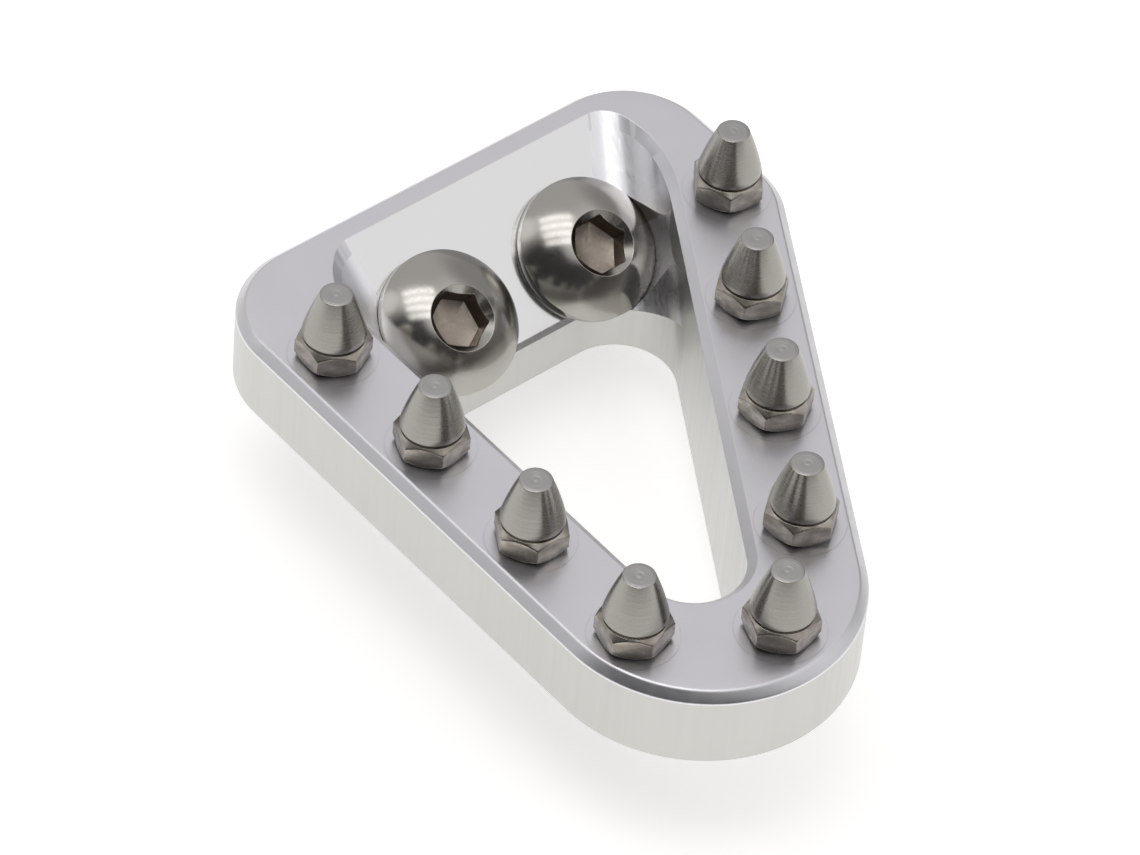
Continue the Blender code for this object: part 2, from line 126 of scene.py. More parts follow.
def softened(profile, radius, steps=4):
    # each inner corner of an open profile becomes a short arc, drawn as a quadratic curve
    # from a point `radius` before the corner to one as far past it
    rows = [profile[0]]
    for before, corner, after in zip(profile, profile[1:], profile[2:]):
        wayIn, wayOut = before - corner, after - corner
        reach = min(radius, np.hypot(*wayIn) / 2.1, np.hypot(*wayOut) / 2.1)
        first = corner + wayIn / np.hypot(*wayIn) * reach
        last = corner + wayOut / np.hypot(*wayOut) * reach
        share = np.linspace(0, 1, steps + 1)[:, None]
        rows.extend(first * (1 - share) ** 2 + 2 * corner * share * (1 - share) + last * share ** 2)
    rows.append(profile[-1])
    return np.array(rows)


def shadeSmooth(piece, angle, rounded=None):
    # smooth but for edges sharper than the angle in degrees, with normals weighted by each face's area
    mesh = piece.data
    mesh.shade_smooth()
    mesh.set_sharp_from_angle(angle=radians(angle))
    if rounded is not None:
        # faces of the material numbered `rounded` have no true corners among themselves
        kind, size = np.zeros(len(mesh.polygons), np.int32), np.zeros(len(mesh.polygons), np.int32)
        edgeOf, sharp = np.zeros(len(mesh.loops), np.int32), np.zeros(len(mesh.edges), bool)
        mesh.polygons.foreach_get("material_index", kind)
        mesh.polygons.foreach_get("loop_total", size)
        mesh.loops.foreach_get("edge_index", edgeOf)
        mesh.attributes["sharp_edge"].data.foreach_get("value", sharp)
        kindOf = np.repeat(kind, size)
        sharp[np.setdiff1d(edgeOf[kindOf == rounded], edgeOf[kindOf != rounded])] = False
        mesh.attributes["sharp_edge"].data.foreach_set("value", sharp)
    weigh = piece.modifiers.new("Flat faces keep their normal", "WEIGHTED_NORMAL")
    weigh.keep_sharp = True
    weigh.weight = 100


def finishPiece(piece, node):
    # every piece is fixed to the one body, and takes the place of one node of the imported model
    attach(piece, "root")
    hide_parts(node)


# Camera, at the photograph's angle

cameraView = {
    "place": (-0.25908555, -0.2856751, 0.38311502),
    "right": (0.7708837, -0.6337409, 0.0641160),
    "up": (0.4214027, 0.5828827, 0.6947427),
    "lens": 226.648,
    "sensor": 36.0,
    "nearest": 0.01,
}


def placeCamera(view):
    # the camera looks down its own -Z, which is square to the picture's right and up
    data = bpy.data.cameras.new("camera")
    data.sensor_fit = "HORIZONTAL"
    data.sensor_width = view["sensor"]
    data.lens = view["lens"]
    data.clip_start = view["nearest"]
    camera = bpy.data.objects.new("camera", data)
    right, up = Vector(view["right"]).normalized(), Vector(view["up"]).normalized()
    turn = Matrix((right, up, right.cross(up))).transposed()
    camera.matrix_world = Matrix.Translation(view["place"]) @ turn.to_4x4()
    scene.collection.objects.link(camera)
    scene.camera = camera


placeCamera(cameraView)
print("camera placed")


# Studio: an even grey room with a dim side behind the camera, a window overhead and a pale floor

studio = {
    "room": "#D6D5D5",
    "roomLevel": 1.0,
    # azimuth, elevation, inner and outer half angle in degrees, level
    "zones": [
        (-42, 48, 20, 50, 1.42),
        (-146, 26, 40, 60, 0.08),
        (-96, 6, 18, 40, 0.10),
        (130, 41, 8, 17, 1.75),
        (10, 16, 14, 38, 0.62),
        (-96, 65, 12, 25, 1.35),
    ],
    "windowAzimuth": 147.0,
    "windowElevation": 79.0,
    "windowDistance": 0.60,
    "paneAcross": (-0.165, -0.055, 0.055, 0.165),  # four long panes side by side
    "paneSize": (0.080, 0.39),
    "paneRadiance": 1.85,
    "floor": "#E6E5E2",
    "floorLift": 0.54,
    "floorSize": 6.0,
}


def direction(azimuth, elevation):
    # the unit vector that points to an azimuth and an elevation in degrees
    return (cos(radians(elevation)) * cos(radians(azimuth)),
            cos(radians(elevation)) * sin(radians(azimuth)), sin(radians(elevation)))


def lightRoom(values):
    # the level goes over to each zone's own, by a smooth step on the cosine of the angle to its middle
    world = bpy.data.worlds.new("studio room")
    world.use_nodes = True
    scene.world = world
    tree = world.node_tree
    tree.nodes.clear()
    way = addNode(tree, "TexCoord").outputs["Generated"]
    level = addNode(tree, "Value").outputs[0]
    level.default_value = values["roomLevel"]
    for azimuth, elevation, inner, outer, strength in values["zones"]:
        near = addNode(tree, "VectorMath", {"operation": "DOT_PRODUCT"},
                       {1: direction(azimuth, elevation)}, {0: way}).outputs["Value"]
        mask = addNode(tree, "MapRange", {"interpolation_type": "SMOOTHSTEP"},
                       {"From Min": cos(radians(outer)), "From Max": cos(radians(inner))},
                       {"Value": near}).outputs[0]
        level = addNode(tree, "Mix", {"data_type": "FLOAT"}, {3: strength}, {0: mask, 2: level}).outputs[0]
    back = addNode(tree, "Background", {}, {"Color": linearColour(values["room"])}, {"Strength": level})
    addNode(tree, "OutputWorld", {}, {}, {"Surface": back.outputs[0]})


def hangWindow(values):
    # white panes that face the object, each with a power of radiance times pi times area
    way = Vector(direction(values["windowAzimuth"], values["windowElevation"]))
    middle = way * values["windowDistance"]
    turn = (-middle).to_track_quat("-Z", "Y").to_matrix().to_4x4()
    width, height = values["paneSize"]
    for number, across in enumerate(values["paneAcross"], start=1):
        data = bpy.data.lights.new("window pane %d" % number, "AREA")
        data.shape = "RECTANGLE"
        data.size, data.size_y = width, height
        data.energy = values["paneRadiance"] * pi * width * height
        pane = bpy.data.objects.new(data.name, data)
        pane.matrix_world = Matrix.Translation(middle) @ turn @ Matrix.Translation((across, 0, 0))
        scene.collection.objects.link(pane)


def layFloor(values):
    # a square under the lowest point; its paper glows a little where it is seen or mirrored, not as a lamp
    half = values["floorSize"] / 2
    low = cadBox[0].z
    points = np.array([(-half, -half, low), (half, -half, low), (half, half, low), (-half, half, low)])
    floor = meshObject("floor", points, [[0, 1, 2, 3]])
    material, tree, out = emptyMaterial("matt white paper")  # even and pale, with a faint soft shadow
    paper = addNode(tree, "BsdfDiffuse", {}, {"Color": linearColour(values["floor"])})
    path = addNode(tree, "LightPath")
    seen = addNode(tree, "Math", {"operation": "MAXIMUM"}, {},
                   {0: path.outputs["Is Camera Ray"], 1: path.outputs["Is Glossy Ray"]})
    seen = addNode(tree, "Math", {"operation": "MAXIMUM"}, {},
                   {0: seen.outputs[0], 1: path.outputs["Is Transmission Ray"]})
    lift = addNode(tree, "Math", {"operation": "MULTIPLY"}, {1: values["floorLift"]}, {0: seen.outputs[0]})
    glow = addNode(tree, "Emission", {}, {"Color": linearColour("#FFFFFF")}, {"Strength": lift.outputs[0]})
    both = addNode(tree, "AddShader", {}, {}, {0: paper.outputs[0], 1: glow.outputs[0]})
    tree.links.new(both.outputs[0], out.inputs["Surface"])
    floor.data.materials.append(material)


lightRoom(studio)
hangWindow(studio)
layFloor(studio)
print("studio lit")


# Metals

metals = {
    # roughness runs from the first value to the second with the metal's own noise; edge is the radius of
    # the corners in metres
    "tread": {"name": "clear anodised aluminium, blasted", "colour": "#E1E0E6",
              "roughness": (0.28, 0.36), "edge": 0.00012},
    # the upright sides' colour, darker than the tread's, is painted shade
    "side": {"name": "clear anodised aluminium, side milled", "colour": "#CBCAC7",
             "roughness": (0.28, 0.38), "edge": 0.00012},
    "chamfer": {"name": "clear anodised aluminium, bright chamfer", "colour": "#D4D4D8",
                "roughness": (0.33, 0.40), "edge": 0.00008},
    "floor": {"name": "clear anodised aluminium, end milled floor", "colour": "#E0E0E1",
              "roughness": (0.15, 0.21), "edge": 0.00010},
    "cove": {"name": "clear anodised aluminium, ball milled", "colour": "#E6E6EA",
             "roughness": (0.27, 0.38), "edge": 0.00008},
    "cone": {"name": "stainless steel, turned", "colour": "#A19E99",
             "roughness": (0.25, 0.33), "edge": 0.00006, "anisotropy": 0.55},
    "tip": {"name": "stainless steel, faced tip", "colour": "#B0AFAE",
            "roughness": (0.34, 0.34), "edge": 0.00006},
    "hexagon": {"name": "stainless steel, drawn hexagon", "colour": "#938D84", "bare": "#BAB4AB",
                "roughness": (0.38, 0.22), "edge": 0.00010},
    "head": {"name": "stainless steel, polished head", "colour": "#B2AFAA",
             "roughness": (0.15, 0.22), "edge": 0.00008, "anisotropy": 0.35},
    # the socket's colour is darker than the head's: painted shade in the recess, on a browner steel
    "socket": {"name": "stainless steel, punched socket", "colour": "#9B9187",
               "roughness": (0.26, 0.40), "edge": 0.00006},
    "thread": {"name": "stainless steel, rolled thread", "colour": "#B9B4AB", "roughness": (0.27, 0.34)},
}
bevelSamples = 6  # of the soft edges


def metalMaterial(values):
    # a bare metal: the shader's own sockets hold what is the same all over, and the Bevel node rounds
    # the look of the corners
    material, tree, out = emptyMaterial(values["name"])
    material.diffuse_color = linearColour(values["colour"])
    surface = addNode(tree, "BsdfPrincipled", {}, {
        "Base Color": linearColour(values["colour"]), "Metallic": 1.0,
        "Roughness": sum(values["roughness"]) / 2, "Anisotropic": values.get("anisotropy", 0.0)})
    tree.links.new(surface.outputs[0], out.inputs["Surface"])
    softEdge = None
    if "edge" in values:
        softEdge = addNode(tree, "Bevel", {"samples": bevelSamples}, {"Radius": values["edge"]}).outputs[0]
    return material, tree, surface, softEdge


def stretchedNoise(tree, place, scale, stretch, detail=2.0, turn=(0.0, 0.0, 0.0)):
    # noise whose grain is 1 / scale metres across, drawn out along the turned axes by 1 / stretch
    if any(turn):
        place = addNode(tree, "Mapping", {}, {"Rotation": turn}, {"Vector": place}).outputs[0]
    scales = tuple(scale * part for part in stretch)
    grid = addNode(tree, "Mapping", {}, {"Scale": scales}, {"Vector": place}).outputs[0]
    return addNode(tree, "TexNoise", {}, {"Scale": 1.0, "Detail": detail}, {"Vector": grid}).outputs[0]


def toolRings(tree, around, along):
    # noise on the unrolled surface, fine along the outline and long round the axis, as a lathe leaves it
    place = addNode(tree, "UVMap", {"uv_map": "turn"}).outputs[0]
    return stretchedNoise(tree, place, 1.0, (around, along, 1.0), 1.0)


def drawnRound(tree, surface):
    # grooves that run round the axis draw each reflection out across them
    along = addNode(tree, "Tangent", {"direction_type": "UV_MAP", "uv_map": "turn"}).outputs[0]
    tree.links.new(along, surface.inputs["Tangent"])
    surface.inputs["Anisotropic Rotation"].default_value = 0.25


def roughnessBy(tree, surface, pattern, values):
    # a straight line from the first roughness where the pattern is 0.3 to the second where it is 0.7, and
    # level outside them
    low, high = values["roughness"]
    ends = {"From Min": 0.3, "From Max": 0.7, "To Min": low, "To Max": high}
    level = addNode(tree, "MapRange", {}, ends, {"Value": pattern}).outputs[0]
    tree.links.new(level, surface.inputs["Roughness"])


def reliefBy(tree, surface, normal, *layers):
    # each layer is a pattern, its height in metres and its strength, and tilts the normal that it is given
    for pattern, height, strength in layers:
        normal = addNode(tree, "Bump", {}, {"Strength": strength, "Distance": height},
                         {"Height": pattern, "Normal": normal}).outputs[0]
    tree.links.new(normal, surface.inputs["Normal"])


def tumbledAluminium():
    # clear anodised aluminium, face milled and then vapour blasted: a satin sheen with a lavender cast,
    # fine even grain, a few hair scratches and soft reflections of the studs
    material, tree, surface, softEdge = metalMaterial(metals["tread"])
    place = addNode(tree, "TexCoord").outputs["Object"]
    cloud = stretchedNoise(tree, place, 260, (1, 1, 1), 3.0)
    roughnessBy(tree, surface, cloud, metals["tread"])
    grit = stretchedNoise(tree, place, 5000, (1, 1, 1), 2.0)  # the 0.05 mm blast grain, drawn at 0.2 mm
    scratch = stretchedNoise(tree, place, 900, (12, 0.35, 1), 1.0, (0, 0, radians(24)))
    ends = {"From Min": 0.24, "From Max": 0.30, "To Min": 1.0, "To Max": 0.0}
    deep = addNode(tree, "MapRange", {}, ends, {"Value": scratch}).outputs[0]
    reliefBy(tree, surface, softEdge, (grit, 0.000012, 0.5), (deep, 0.000004, 0.5))
    return material


def sideAluminium():
    # the same metal on its upright sides, left as the side of the cutter made it: paler, with faint
    # upright lines; its colour is set darker than the tread's, which is painted shade on the sides
    material, tree, surface, softEdge = metalMaterial(metals["side"])
    place = addNode(tree, "TexCoord").outputs["Object"]
    lines = stretchedNoise(tree, place, 2600, (1, 1, 0.02), 2.0)  # feed marks about 0.4 mm apart
    roughnessBy(tree, surface, lines, metals["side"])
    reliefBy(tree, surface, softEdge, (lines, 0.000006, 0.35))
    return material


def chamferAluminium():
    # a fast light cut along the edges: bright and even, without the grain of the tread
    material, tree, surface, softEdge = metalMaterial(metals["chamfer"])
    place = addNode(tree, "TexCoord").outputs["Object"]
    cloud = stretchedNoise(tree, place, 900, (1, 1, 1), 2.0)
    roughnessBy(tree, surface, cloud, metals["chamfer"])
    reliefBy(tree, surface, softEdge, (cloud, 0.000005, 0.3))
    return material


def pocketAluminium():
    # the pocket's floor: an end mill leaves faint overlapping arcs on a bright even face
    material, tree, surface, softEdge = metalMaterial(metals["floor"])
    place = addNode(tree, "TexCoord").outputs["Object"]
    # the arcs turn about a point beside the pocket
    arcs = addNode(tree, "Mapping", {}, {"Location": (0.030, 0.012, 0.0)}, {"Vector": place}).outputs[0]
    rings = addNode(tree, "TexWave", {"wave_type": "RINGS", "rings_direction": "Z"},
                    {"Scale": 900, "Distortion": 1.2, "Detail": 2.0}, {"Vector": arcs}).outputs["Fac"]
    cloud = stretchedNoise(tree, place, 320, (1, 1, 1), 3.0)
    roughnessBy(tree, surface, cloud, metals["floor"])
    grit = stretchedNoise(tree, place, 5000, (1, 1, 1), 2.0)
    reliefBy(tree, surface, softEdge, (rings, 0.000001, 0.25), (grit, 0.000008, 0.4))
    return material


def coveAluminium():
    # the pocket's rounded ends, cut in shallow passes: a bright hollow with fine lines down its length
    material, tree, surface, softEdge = metalMaterial(metals["cove"])
    place = addNode(tree, "TexCoord").outputs["Object"]
    # steps of the cutter, 0.24 mm apart
    passes = stretchedNoise(tree, place, 4200, (1, 0.02, 1), 1.5, (-tilt, 0, 0))
    roughnessBy(tree, surface, passes, metals["cove"])
    reliefBy(tree, surface, softEdge, (passes, 0.000008, 0.35))
    return material


def studSteel():
    # turned stainless bar: warm grey, and fine tool rings round the cone draw each reflection out lengthwise
    material, tree, surface, softEdge = metalMaterial(metals["cone"])
    rings = toolRings(tree, 3.0, 12000.0)  # 0.08 mm feed
    roughnessBy(tree, surface, rings, metals["cone"])
    reliefBy(tree, surface, softEdge, (rings, 0.000002, 0.3))
    drawnRound(tree, surface)
    return material


def facedSteel():
    # the stud's tip, faced off across the end: paler and cooler, with rings about its middle
    material, tree, surface, softEdge = metalMaterial(metals["tip"])
    rings = toolRings(tree, 2.0, 9000.0)  # 0.11 mm feed
    reliefBy(tree, surface, softEdge, (rings, 0.00004, 0.7))
    return material


def hexSteel():
    # cold drawn flats of the same bar, darker towards the tread: painted shade where the hexagon stands on
    # it, standing also for thread lock at the seat
    material, tree, surface, softEdge = metalMaterial(metals["hexagon"])
    place = addNode(tree, "TexCoord").outputs["Object"]
    stain = stretchedNoise(tree, place, 900, (1, 1, 1.6), 4.0)
    drawn = stretchedNoise(tree, place, 5000, (1, 1, 0.12), 2.0)  # draw marks along the bar
    shade = addNode(tree, "ValToRGB", {}, {}, {"Fac": stain})
    for stop, position, colour in zip(shade.color_ramp.elements, (0.36, 0.72), ("colour", "bare")):
        stop.position, stop.color = position, linearColour(metals["hexagon"][colour])
    # painted shade, with the thread lock, over the first 0.8 mm above the tread: the colour darkens towards
    # the tread
    height = addNode(tree, "SeparateXYZ", {}, {}, {"Vector": place}).outputs[2]
    ends = {"From Min": treadHeight + 0.0001, "From Max": treadHeight + 0.0008, "To Min": 0.35, "To Max": 1.0}
    paintedFootShade = addNode(tree, "MapRange", {}, ends, {"Value": height}).outputs[0]
    shaded = addNode(tree, "VectorMath", {"operation": "SCALE"}, {},
                     {0: shade.outputs[0], "Scale": paintedFootShade}).outputs[0]
    tree.links.new(shaded, surface.inputs["Base Color"])
    roughnessBy(tree, surface, stain, metals["hexagon"])
    reliefBy(tree, surface, softEdge, (drawn, 0.000004, 0.35))
    return material


def screwSteel():
    # cold headed stainless, barrel polished: a soft mirror with faint ripples
    material, tree, surface, softEdge = metalMaterial(metals["head"])
    drawnRound(tree, surface)
    place = addNode(tree, "TexCoord").outputs["Object"]
    ripple = stretchedNoise(tree, place, 700, (1, 1, 1), 2.0)
    fine = stretchedNoise(tree, place, 5200, (1, 1, 1), 2.0)
    roughnessBy(tree, surface, fine, metals["head"])
    reliefBy(tree, surface, softEdge, (ripple, 0.000012, 0.25), (fine, 0.000002, 0.3))
    return material


def socketSteel():
    # the punched inside of the socket: rougher and browner, and darker than the head as painted shade in the
    # recess
    material, tree, surface, softEdge = metalMaterial(metals["socket"])
    place = addNode(tree, "TexCoord").outputs["Object"]
    streaks = stretchedNoise(tree, place, 3600, (1, 1, 0.25), 2.0)
    roughnessBy(tree, surface, streaks, metals["socket"])
    reliefBy(tree, surface, softEdge, (streaks, 0.000003, 0.35))
    return material


def threadSteel():
    # rolled threads: the same steel, a little duller from the dies
    material, tree, surface = metalMaterial(metals["thread"])[:3]
    place = addNode(tree, "TexCoord").outputs["Object"]
    grain = stretchedNoise(tree, place, 3000, (1, 1, 1), 2.0)
    roughnessBy(tree, surface, grain, metals["thread"])
    return material


# Plate

plate = {
    "leftSide": -0.0230, "endFace": 0.01995, "barOuter": 0.0073, "barDepth": 0.0131,
    "endFaceLength": 0.01665, "slantAngle": 58.5, "armWidth": 0.0085,
    "radii": (0.0074, 0.0121, 0.0075, 0.0069),  # top left, nose, end of the slanted arm, top right
    "openingRadii": (0.0045, 0.0041, 0.0045),  # top left, nose, top right
    "thickness": 0.0118, "sideHeight": 0.0067, "chamfer": 0.0007,
    "mountAngle": 35.0, "web": 0.0042, "rim": 0.00225, "coveRadius": 0.0041,
    "seatWidth": 0.0264, "lip": 0.0003,
    "edgeRadius": 0.00014,  # the broken corners that catch the light
    "topMargin": 0.0012, "footMargin": 0.0003,  # flat strips beside the outer edges
    "arcStep": 1.5, "coveSteps": 36, "holeSteps": 64, "spotSteps": 96,  # degrees, then counts
    "reach": 0.02, "overrun": 0.002,  # how far the cutters pass the plate, and the tread
    "skim": 0.00001, "headGap": 0.00002,  # the reliefs pass the floor and the walls, and clear the heads
}
tilt = radians(plate["mountAngle"])


def floorHeight(values, y):
    # the pocket's floor is the plane z cos(tilt) - y sin(tilt) = web
    return (values["web"] + sin(tilt) * y) / cos(tilt)


treadHeight = floorHeight(plate, plate["barOuter"] - plate["rim"])  # the floor comes out at the rim
bottomHeight = treadHeight - plate["thickness"]
slantWay = np.array([cos(radians(plate["slantAngle"])), sin(radians(plate["slantAngle"]))])
slantOut = np.array([slantWay[1], -slantWay[0]])
slantCorner = np.array([plate["endFace"], plate["barOuter"] - plate["endFaceLength"]])
floorNormal = np.array([0.0, -sin(tilt), cos(tilt)])

treadMetal, sideMetal, chamferMetal = tumbledAluminium(), sideAluminium(), chamferAluminium()
floorMetal, coveMetal = pocketAluminium(), coveAluminium()
coneMetal, tipMetal, hexMetal, headMetal = studSteel(), facedSteel(), hexSteel(), screwSteel()
socketMetal, threadMetal = socketSteel(), threadSteel()
print("metals made")


def crossing(pointA, wayA, pointB, wayB):
    # where two straight lines of the plan meet, by the ratio of cross products
    step = pointB - pointA
    along = (step[0] * wayB[1] - step[1] * wayB[0]) / (wayA[0] * wayB[1] - wayA[1] * wayB[0])
    return pointA + wayA * along


def cornerArc(before, corner, after, radius, stepAngle):
    # the circle that touches both sides of a corner: its centre lies radius / sin(half the corner's angle)
    # from the corner. Gives its points at even angles, their outward normals and the centre
    wayIn = (before - corner) / np.hypot(*(before - corner))
    wayOut = (after - corner) / np.hypot(*(after - corner))
    half = np.arccos(wayIn @ wayOut) / 2
    middle = (wayIn + wayOut) / np.hypot(*(wayIn + wayOut))
    centre = corner + middle * radius / sin(half)
    first = corner + wayIn * radius / tan(half) - centre
    sweep = pi - 2 * half
    steps = int(np.ceil(sweep / radians(stepAngle)))
    angles = np.arctan2(first[1], first[0]) + np.linspace(0, sweep, steps + 1)
    normals = np.stack([np.cos(angles), np.sin(angles)], axis=1)
    return centre + normals * radius, normals, centre


def roundedPath(corners, radii, stepAngle):
    # a closed outline: one arc for each corner, and straight lines between them
    arcs = [cornerArc(corners[k - 1], corners[k], corners[(k + 1) % len(corners)], radii[k], stepAngle)
            for k in range(len(corners))]
    return np.vstack([arc[0] for arc in arcs]), np.vstack([arc[1] for arc in arcs])


def outerCorners(values):
    # the plan's four sharp corners, where the lines of its sides cross
    leftTop = np.array([values["leftSide"], values["barOuter"]])
    rightTop = np.array([values["endFace"], values["barOuter"]])
    nose = crossing(leftTop, np.array([0.0, 1.0]), slantCorner, slantWay)
    return [leftTop, nose, slantCorner, rightTop]


def openingCorners(values):
    # the opening's three sharp corners: the outer lines moved in by the arms' width and the bar's depth
    leftTop = np.array([values["leftSide"] + values["armWidth"], values["barOuter"] - values["barDepth"]])
    slantPoint = slantCorner - slantOut * values["armWidth"]
    rightTop = crossing(leftTop, np.array([1.0, 0.0]), slantPoint, slantWay)
    nose = crossing(leftTop, np.array([0.0, 1.0]), slantPoint, slantWay)
    return [leftTop, nose, rightTop]


def atHeight(outline, height):
    # a plan outline lifted to one height
    return np.column_stack([outline, np.full(len(outline), height)])


def movedOut(outline, distance):
    # each point of a closed outline goes out along the mitre m of its two sides, by 2 distance m / (m m)
    before = outline - np.roll(outline, 1, axis=0)
    after = np.roll(outline, -1, axis=0) - outline
    before, after = (way / np.linalg.norm(way, axis=1, keepdims=True) for way in (before, after))
    mitre = np.stack([before[:, 1] + after[:, 1], -before[:, 0] - after[:, 0]], axis=1)
    return outline + mitre * 2 * distance / (mitre ** 2).sum(axis=1, keepdims=True)


def floorLine(values, height, above=0.0):
    # y where the tilted floor, lifted square to itself by `above`, reaches a height
    return (cos(tilt) * height - values["web"] - above) / sin(tilt)


def coveLine(values, wallPoint, inward, height):
    # the cove is a cylinder that touches the upright wall and the tilted floor: each spoke turns evenly
    # from the wall's normal to the floor's, and slides along the cylinder's axis to the asked height
    radius = values["coveRadius"]
    along = np.array([-inward[1], inward[0]])
    level = np.array([0.0, floorLine(values, height, radius)])
    centre = np.append(crossing(wallPoint + inward * radius, along, level, np.array([1.0, 0.0])), height)
    inward3 = np.append(inward, 0.0)
    axis = np.cross(inward3, floorNormal)
    axis /= np.linalg.norm(axis)
    spread = np.arccos(inward3 @ floorNormal)
    share = np.linspace(0, 1, values["coveSteps"] + 1)[:, None]
    spokes = np.sin((1 - share) * spread) * inward3 + np.sin(share * spread) * floorNormal
    spokes = -spokes / sin(spread) * radius
    return centre + spokes - axis * (spokes[:, 2:] / axis[2])


def pocketRing(values, height):
    # the opening with the pocket joined to it, cut by a level plane
    leftTop, nose, rightTop = openingCorners(values)
    arc = cornerArc(leftTop, nose, rightTop, values["openingRadii"][1], values["arcStep"])[0]
    right = coveLine(values, rightTop, -slantOut, height)
    left = coveLine(values, leftTop, np.array([1.0, 0.0]), height)
    return np.vstack([atHeight(arc, height), right, left[::-1]])


def roundRings(rows, steps, middle=(0.0, 0.0)):
    # circles about an upright axis, one for each radius and height
    angles = np.arange(steps) * 2 * pi / steps
    circle = np.stack([np.cos(angles), np.sin(angles), np.zeros(steps)], axis=1)
    return np.stack([circle * radius + (*middle, height) for radius, height in rows])


samePlace = 0.000001  # points nearer than this are one


def withoutSpurs(mesh):
    # two cuts that share a line leave spurs, which would shade as dark hairs: a corner goes where its two
    # neighbours are in the same place, or where the next one is; then doubled points are merged, with the
    # faces that have no area
    shape = bmesh.new()
    shape.from_mesh(mesh)
    for face in list(shape.faces):
        corners = list(face.verts)
        k = 0
        while k < len(corners) > 2:
            before, after = corners[k - 1].co, corners[(k + 1) % len(corners)].co
            if (before - after).length < samePlace or (corners[k].co - after).length < samePlace:
                del corners[k]
                k = 0
            else:
                k += 1
        if len(corners) < len(face.verts):
            shape.faces.remove(face)
            if len(corners) > 2:
                shape.faces.new(corners)
    bmesh.ops.remove_doubles(shape, verts=shape.verts, dist=samePlace)
    bmesh.ops.dissolve_degenerate(shape, dist=samePlace, edges=shape.edges)
    for parts, context in ((shape.edges, "EDGES"), (shape.verts, "VERTS")):
        bmesh.ops.delete(shape, geom=[part for part in parts if not part.link_faces], context=context)
    shape.to_mesh(mesh)
    shape.free()


def cutFrom(piece, cutters):
    # exact Booleans, worked in at once so that the finished piece carries only its own mesh
    for cutter in cutters:
        step = piece.modifiers.new("Cut " + cutter.name, "BOOLEAN")
        step.operation = "DIFFERENCE"
        step.solver = "EXACT"
        step.object = cutter
    bpy.context.view_layer.update()
    graph = bpy.context.evaluated_depsgraph_get()
    mesh = bpy.data.meshes.new_from_object(piece.evaluated_get(graph))
    withoutSpurs(mesh)
    piece.modifiers.clear()
    piece.data = mesh
    for cutter in cutters:
        bpy.data.objects.remove(cutter, do_unlink=True)


def screwFrame(side):
    # half the spacing to one side, then turned so that Z stands on the tilted floor
    return Matrix.Translation((side * screws["spacing"] / 2, 0, 0)) @ Matrix.Rotation(tilt, 4, "X")


def studPlaces(values, studValues):
    # a row down the left arm, one stud on the nose arc, and a row up the slanted arm
    places = {}
    left = values["leftSide"] + values["armWidth"] / 2
    top = values["barOuter"] - studValues["leftStart"]
    for k in range(4):
        places["left_%d" % (k + 1)] = (left, top - k * studValues["pitch"])
    corners = outerCorners(values)
    centre = cornerArc(corners[0], corners[1], corners[2], values["radii"][1], 6.0)[2]
    reach = values["radii"][1] - studValues["noseInset"]
    angle = radians(studValues["noseAngle"])
    places["nose"] = tuple(centre + np.array([cos(angle), sin(angle)]) * reach)
    last = slantCorner - slantOut * values["armWidth"] / 2 - slantWay * studValues["slantStart"]
    for k in range(4):
        places["slant_%d" % (k + 1)] = tuple(last - slantWay * (3 - k) * studValues["pitch"])
    return places


studs = {
    "pitch": 0.0115, "leftStart": 0.0111, "slantStart": 0.0005, "noseAngle": -82.5, "noseInset": 0.0045,
    "height": 0.00614, "hex": 0.0050, "hexHeight": 0.0020, "hexEnd": 0.00236, "bevelAngle": 50.0,
    "neckRadius": 0.0021, "landRadius": 0.00240, "landStart": 0.00225, "coneStart": 0.0025,
    "tipRadius": 0.00126, "tipEdge": 0.00010, "bulge": 0.00007,
    # the parting tool leaves a small pip and a ring on the tip: radius, and depth below the top
    "facing": ((0.00005, 0.0), (0.00014, 0.00001), (0.00026, 0.00003), (0.00036, 0.00002),
               (0.00046, 0.0), (0.00062, 0.000015), (0.0008, 0.0)),
    "columns": 120, "coneRows": 15, "bevelRows": 11, "flatRows": 5,
    "threadRadius": 0.0020, "threadPitch": 0.0007, "threadDepth": 0.00038, "threadSteps": 10,
    "shank": 0.0057, "holeRadius": 0.0023, "holeDepth": 0.0065,
    "drillTip": 0.00005, "drillPoint": 0.0012,
    "spotRadius": 0.0034, "spotDepth": 0.00001,  # the faint mark of the tool round each hole
    # how far each hexagon had turned when its thread came tight
    "turns": {"left_1": 57, "left_2": 38, "left_3": 29, "left_4": 47, "nose": 41,
              "slant_1": 7, "slant_2": 3, "slant_3": 8, "slant_4": 23},
}

screws = {
    "spacing": 0.0134, "headRadius": 0.0056, "headHeight": 0.0032, "rim": 0.0009, "footEdge": 0.00025,
    "socket": 0.0040, "socketDepth": 0.0023, "mouthRadius": 0.0026, "mouthEdge": 0.00006, "dish": 0.0004,
    "columns": 144, "dishRows": 8, "wallRows": 6, "bevelRows": 15, "domeRows": 26, "footRows": 6,
    "threadRadius": 0.0030, "threadPitch": 0.0010, "threadDepth": 0.0006, "threadSteps": 26,
    "length": 0.0120, "holeRadius": 0.0033,
    "turns": {"left": 60.0, "right": 30.0},
    # the punch struck a little off centre
    "socketShift": {"left": (-0.00016, -0.00026), "right": (0.0, -0.00022)},
}


def plateBlank(values):
    # every point of the side's profile moves in along the outline's normal, and keeps its own height
    path, normals = roundedPath(outerCorners(values), values["radii"], values["arcStep"])
    under = values["thickness"] - values["sideHeight"]
    profile = softened(np.array([
        (-values["chamfer"] - values["topMargin"], treadHeight), (-values["chamfer"], treadHeight),
        (0.0, treadHeight - values["chamfer"]), (0.0, bottomHeight + under),
        (-under, bottomHeight), (-under - values["footMargin"], bottomHeight)]), values["edgeRadius"])
    return closedRings("plate_milled", np.stack([atHeight(path + normals * out, z) for out, z in profile]))


